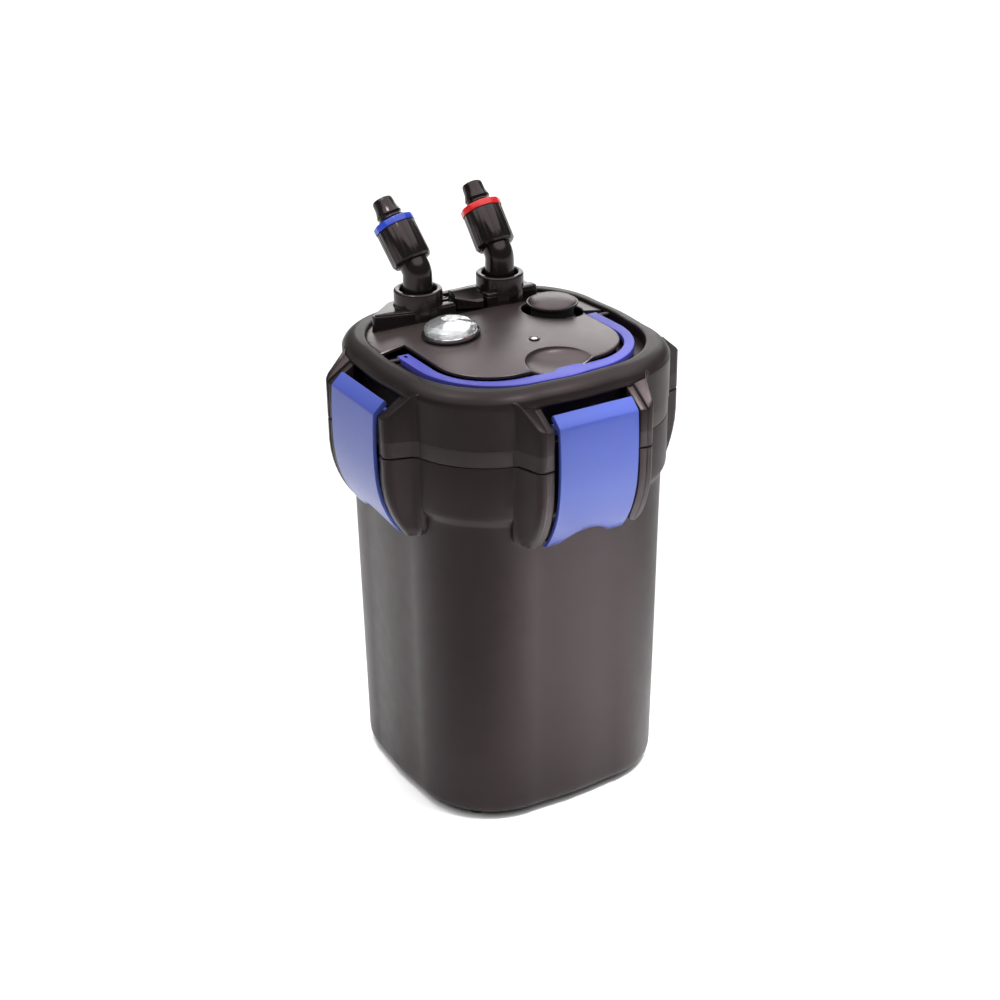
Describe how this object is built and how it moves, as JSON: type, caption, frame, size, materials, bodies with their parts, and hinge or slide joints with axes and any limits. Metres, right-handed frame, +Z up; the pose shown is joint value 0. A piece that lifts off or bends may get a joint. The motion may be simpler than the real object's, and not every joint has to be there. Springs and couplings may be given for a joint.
{
  "type": "canister filter",
  "caption": "Aquarium canister filter: square latched canister, pump head with priming button and flow window, lift-off tap block, hose nozzles and carrying handle.",
  "frame": {"origin": "centre of the footprint on the floor, under the rubber feet", "axes": "+Z up, the front (scoop of the carrying handle) faces -Y, +X is to its right"},
  "size_m": [0.277, 0.277, 0.4762],
  "materials": {
    "body_plastic": "brown-black satin moulded plastic, glossier on the top plate",
    "tap_plastic": "black gloss",
    "blue_plastic": "satin violet-blue",
    "red_plastic": "satin red",
    "clear_plastic": "clear, polished",
    "white_plastic": "satin white",
    "grey_plastic": "matt grey",
    "potted_stator": "resin-potted laminations and coil",
    "rubber": "matt black rubber",
    "steel": "stainless steel",
    "ceramic": "unglazed ceramic",
    "sponge": "open-cell foam",
    "floss": "white filter floss"
  },
  "bodies": {
    "canister_body": {"canister": "body_plastic", "foot_front_left": "rubber", "foot_rear_left": "rubber", "foot_front_right": "rubber", "foot_rear_right": "rubber", "basket_bottom": "body_plastic", "basket_middle": "body_plastic", "basket_top": "body_plastic", "ceramic_media": "ceramic", "coarse_sponge": "sponge", "filter_floss": "floss", "intake_pipe": "grey_plastic"},
    "head": {"head_base": "body_plastic", "main_seal": "rubber", "head_cover": "body_plastic", "top_plate": "body_plastic", "latch_pin_front": "steel", "latch_pin_right": "steel", "latch_pin_rear": "steel", "latch_pin_left": "steel", "flow_chamber": "white_plastic", "flow_bezel": "tap_plastic", "flow_lens": "clear_plastic", "primer_cylinder": "body_plastic", "primer_spring": "steel", "status_lens": "white_plastic", "stator": "potted_stator", "stator_screw_1": "steel", "stator_screw_2": "steel", "stator_screw_3": "steel", "stator_screw_4": "steel", "rotor_shaft": "ceramic", "shaft_bush_upper": "rubber", "shaft_bush_lower": "rubber", "impeller_cover": "body_plastic", "outlet_duct": "grey_plastic", "power_gland": "rubber"},
    "front_latch": {"latch_front": "blue_plastic"},
    "right_latch": {"latch_right": "blue_plastic"},
    "rear_latch": {"latch_rear": "blue_plastic"},
    "left_latch": {"latch_left": "blue_plastic"},
    "handle": {"carry_handle": "blue_plastic"},
    "primer": {"primer_button": "tap_plastic"},
    "indicator": {"flow_wheel": "white_plastic"},
    "rotor": {"rotor_magnet": "grey_plastic", "impeller": "white_plastic"},
    "tap_block": {"valve_block": "tap_plastic"},
    "tap_lever": {"valve_lever": "tap_plastic", "ball_valve_left": "white_plastic", "ball_valve_right": "white_plastic"},
    "left_elbow": {"elbow_left": "tap_plastic", "hose_tail_left": "tap_plastic"},
    "right_elbow": {"elbow_right": "tap_plastic", "hose_tail_right": "tap_plastic"},
    "left_nut": {"hose_nut_left": "tap_plastic", "nut_ring_left": "blue_plastic"},
    "right_nut": {"hose_nut_right": "tap_plastic", "nut_ring_right": "red_plastic"}
  },
  "joints": [
    {"name": "lid_lift", "type": "slide", "parent": "canister_body", "child": "head", "axis": [0, 0, 1], "range_m": [0, 0.1]},
    {"name": "front_latch_swing", "type": "hinge", "parent": "head", "child": "front_latch", "pos_m": [0, -0.124, 0.352], "axis": [-1, 0, 0], "range_deg": [0, 100]},
    {"name": "right_latch_swing", "type": "hinge", "parent": "head", "child": "right_latch", "pos_m": [0.124, 0, 0.352], "axis": [0, -1, 0], "range_deg": [0, 100]},
    {"name": "rear_latch_swing", "type": "hinge", "parent": "head", "child": "rear_latch", "pos_m": [0, 0.124, 0.352], "axis": [1, 0, 0], "range_deg": [0, 100]},
    {"name": "left_latch_swing", "type": "hinge", "parent": "head", "child": "left_latch", "pos_m": [-0.124, 0, 0.352], "axis": [0, 1, 0], "range_deg": [0, 100]},
    {"name": "handle_swing", "type": "hinge", "parent": "head", "child": "handle", "pos_m": [0, 0.004, 0.377], "axis": [-1, 0, 0], "range_deg": [0, 90]},
    {"name": "primer_press", "type": "slide", "parent": "head", "child": "primer", "axis": [0, 0, -1], "range_m": [0, 0.01], "stiffness_N_per_m": 150, "springref_m": -0.005, "deforming": ["primer_spring"]},
    {"name": "indicator_spin", "type": "hinge", "parent": "head", "child": "indicator", "pos_m": [-0.0415, 0.0125, 0.3844], "axis": [-0.0698, -0.0052, 0.9976], "continuous": true},
    {"name": "rotor_spin", "type": "hinge", "parent": "head", "child": "rotor", "pos_m": [0, -0.012, 0.33], "axis": [0, 0, 1], "continuous": true},
    {"name": "tap_block_lift", "type": "slide", "parent": "head", "child": "tap_block", "axis": [0, 0, 1], "range_m": [0, 0.03]},
    {"name": "tap_lever_swing", "type": "hinge", "parent": "tap_block", "child": "tap_lever", "pos_m": [0, 0.0713, 0.3878], "axis": [-1, 0, 0], "range_deg": [0, 90]},
    {"name": "left_elbow_swivel", "type": "hinge", "parent": "tap_block", "child": "left_elbow", "pos_m": [-0.0387, 0.0713, 0.41], "axis": [0, 0, 1], "range_deg": [-35, 90]},
    {"name": "right_elbow_swivel", "type": "hinge", "parent": "tap_block", "child": "right_elbow", "pos_m": [0.0387, 0.0713, 0.41], "axis": [0, 0, 1], "range_deg": [-90, 35]},
    {"name": "left_nut_turn", "type": "hinge", "parent": "left_elbow", "child": "left_nut", "pos_m": [-0.0387, 0.0713, 0.421], "axis": [-0.1336, 0.6287, 0.766], "continuous": true},
    {"name": "right_nut_turn", "type": "hinge", "parent": "right_elbow", "child": "right_nut", "pos_m": [0.0387, 0.0713, 0.421], "axis": [-0.0224, 0.6424, 0.766], "continuous": true}
  ]
}
